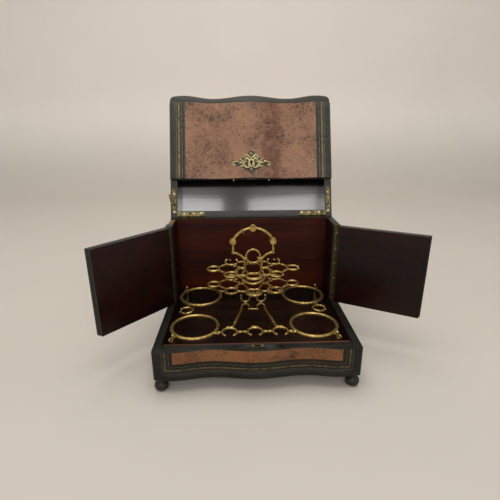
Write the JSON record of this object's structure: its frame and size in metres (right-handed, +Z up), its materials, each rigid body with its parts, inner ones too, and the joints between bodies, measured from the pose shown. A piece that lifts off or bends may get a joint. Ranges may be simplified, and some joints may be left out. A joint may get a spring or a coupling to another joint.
{
  "type": "tantalus box",
  "caption": "Serpentine-front spirits box with tipped lid, folding front flap, two side doors and a lift-out gilt rack for decanters and glasses.",
  "frame": {"origin": "on the plane the feet stand on, midway between the four feet", "axes": "+X to the box's right as seen from the front, +Y to the back, +Z up"},
  "size_m": [0.5734, 0.3827, 0.4645],
  "materials": {
    "ebonised_wood": "polished black, greyed by wear",
    "burr_veneer": "polished burr veneer",
    "mahogany": "polished reddish brown",
    "inlaid_brass": "dull inlay flush with the wood",
    "aged_brass": "dull greenish brass",
    "gilt_brass": "dull gilding",
    "steel": "dull turned steel"
  },
  "bodies": {
    "case": {"base_frame": "ebonised_wood", "bottom_board": "ebonised_wood", "floor_board": "mahogany", "feet": "ebonised_wood", "base_burr": "burr_veneer", "base_brass_lines": "inlaid_brass", "strike_plate": "aged_brass", "back_panel": "mahogany", "left_fixed_side": "ebonised_wood", "right_fixed_side": "ebonised_wood", "left_door_hinge_case_leaf": "aged_brass", "right_door_hinge_case_leaf": "aged_brass", "left_door_hinge_pin": "steel", "right_door_hinge_pin": "steel", "left_lid_hinge_case_leaf": "aged_brass", "right_lid_hinge_case_leaf": "aged_brass", "lid_hinge_pins": "steel", "case_screws": "aged_brass"},
    "left_door": {"left_door": "ebonised_wood", "left_door_burr": "burr_veneer", "left_door_brass_line": "inlaid_brass", "left_door_hinge_leaf": "aged_brass", "left_door_screws": "aged_brass"},
    "right_door": {"right_door": "ebonised_wood", "right_door_burr": "burr_veneer", "right_door_brass_line": "inlaid_brass", "right_door_hinge_leaf": "aged_brass", "right_door_screws": "aged_brass"},
    "lid": {"lid_frame": "ebonised_wood", "lid_top_board": "ebonised_wood", "lid_top_burr": "burr_veneer", "lid_top_brass_lines": "inlaid_brass", "lid_front_burr": "burr_veneer", "lid_front_brass_lines": "inlaid_brass", "left_lid_corner_plate": "aged_brass", "right_lid_corner_plate": "aged_brass", "lid_screws": "aged_brass", "flap_hinge_lid_leaves": "aged_brass", "flap_hinge_pins": "steel"},
    "flap": {"flap_board": "ebonised_wood", "flap_burr": "burr_veneer", "flap_brass_lines": "inlaid_brass", "escutcheon": "aged_brass", "lock_case": "aged_brass", "lock_selvedge": "aged_brass", "locating_pins": "aged_brass", "flap_hinge_leaves": "aged_brass", "flap_screws": "aged_brass"},
    "lock_bolt": {"lock_bolt": "steel"},
    "left_stop_link": {"left_stop_link": "aged_brass"},
    "rack": {"left_front_ring": "gilt_brass", "right_front_ring": "gilt_brass", "left_back_ring": "gilt_brass", "right_back_ring": "gilt_brass", "ring_scrolls": "gilt_brass", "rack_legs": "gilt_brass", "lower_glass_tier": "gilt_brass", "upper_glass_tier": "gilt_brass", "rack_handle": "gilt_brass", "handle_rosettes": "gilt_brass"}
  },
  "joints": [
    {"name": "lid_hinge", "type": "hinge", "parent": "case", "child": "lid", "pos_m": [0, 0.1232, 0.2311], "axis": [1, 0, 0], "range_deg": [0, 110.6]},
    {"name": "flap_hinge", "type": "hinge", "parent": "lid", "child": "flap", "pos_m": [0, 0.20245, 0.44563], "axis": [1, 0, 0], "range_deg": [-90, 0]},
    {"name": "left_door_hinge", "type": "hinge", "parent": "case", "child": "left_door", "pos_m": [-0.1652, 0.05, 0.1512], "axis": [0, 0, 1], "range_deg": [-60, 41.2]},
    {"name": "right_door_hinge", "type": "hinge", "parent": "case", "child": "right_door", "pos_m": [0.1652, 0.05, 0.1512], "axis": [0, 0, -1], "range_deg": [-40, 61.4]},
    {"name": "rack_lift", "type": "slide", "parent": "case", "child": "rack", "axis": [0, 0, -1], "range_m": [-0.2, 0]},
    {"name": "bolt_throw", "type": "slide", "parent": "flap", "child": "lock_bolt", "axis": [0, -0.3518, -0.9361], "range_m": [0, 0.006]},
    {"name": "stop_link_pivot", "type": "hinge", "parent": "lid", "child": "left_stop_link", "pos_m": [-0.15895, 0.12588, 0.24505], "axis": [0, 0.9361, -0.3518], "range_deg": [-20, 10.6]}
  ],
  "couplings": [
    {"joint": "flap_hinge", "follows": "lid_hinge", "ratio": -0.8137}
  ]
}
